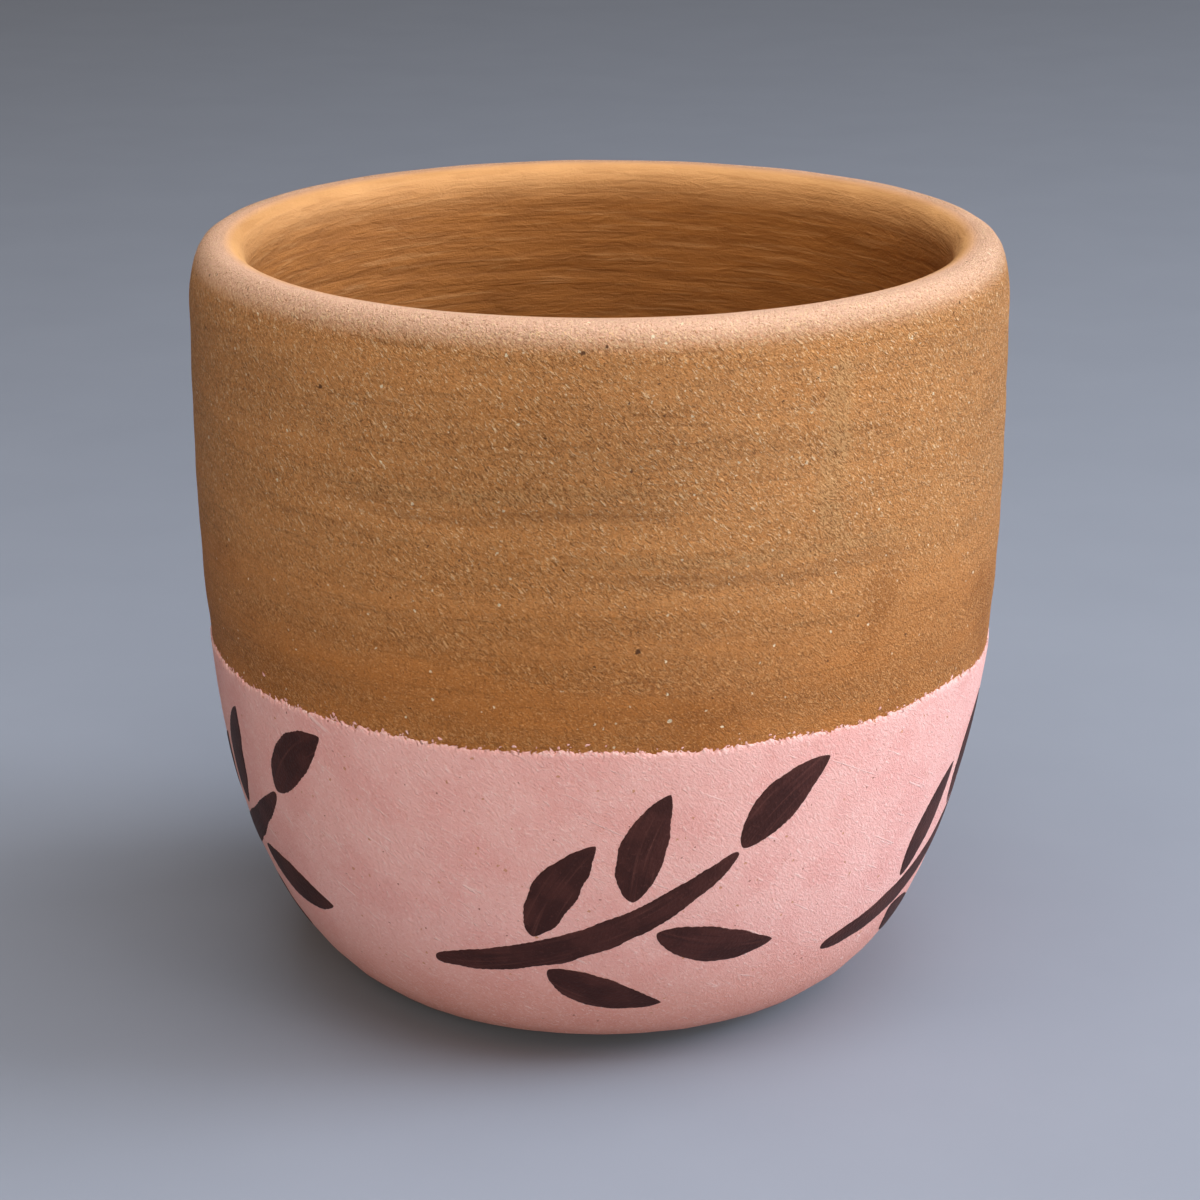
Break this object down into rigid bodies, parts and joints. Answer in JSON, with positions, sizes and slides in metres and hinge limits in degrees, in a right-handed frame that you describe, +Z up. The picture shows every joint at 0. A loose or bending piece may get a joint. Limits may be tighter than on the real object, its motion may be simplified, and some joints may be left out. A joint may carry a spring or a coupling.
{
  "type": "clay cup",
  "caption": "Handleless thrown earthenware cup with a round belly, a thick rounded lip and bare clay above a pink slip band painted with dark leaf sprigs.",
  "frame": {"origin": "centre of the flat foot, on the table that the cup stands on", "axes": "+Z up along the cup's axis, -Y towards the viewer of the reference view, +X to that viewer's right"},
  "size_m": [0.0902, 0.0902, 0.0855],
  "materials": {
    "fired_clay": "unglazed ochre-brown earthenware, matt, fine-grained",
    "pink_slip": "brushed pink clay slip, matt",
    "dark_slip": "dark maroon-brown brushed slip, semi-matt"
  },
  "bodies": {
    "root": {"clay_body": "fired_clay", "slip_coat": "pink_slip", "sprig_1_stem": "dark_slip", "sprig_1_tip_leaf": "dark_slip", "sprig_1_upper_left_leaf": "dark_slip", "sprig_1_upper_right_leaf": "dark_slip", "sprig_1_lower_left_leaf": "dark_slip", "sprig_1_lower_right_leaf": "dark_slip", "sprig_2_stem": "dark_slip", "sprig_2_tip_leaf": "dark_slip", "sprig_2_upper_left_leaf": "dark_slip", "sprig_2_upper_right_leaf": "dark_slip", "sprig_2_lower_left_leaf": "dark_slip", "sprig_2_lower_right_leaf": "dark_slip", "sprig_3_stem": "dark_slip", "sprig_3_tip_leaf": "dark_slip", "sprig_3_upper_left_leaf": "dark_slip", "sprig_3_upper_right_leaf": "dark_slip", "sprig_3_lower_left_leaf": "dark_slip", "sprig_3_lower_right_leaf": "dark_slip", "sprig_4_stem": "dark_slip", "sprig_4_tip_leaf": "dark_slip", "sprig_4_upper_left_leaf": "dark_slip", "sprig_4_upper_right_leaf": "dark_slip", "sprig_4_lower_left_leaf": "dark_slip", "sprig_4_lower_right_leaf": "dark_slip", "sprig_5_stem": "dark_slip", "sprig_5_tip_leaf": "dark_slip", "sprig_5_upper_left_leaf": "dark_slip", "sprig_5_upper_right_leaf": "dark_slip", "sprig_5_lower_left_leaf": "dark_slip", "sprig_5_lower_right_leaf": "dark_slip"}
  },
  "joints": []
}
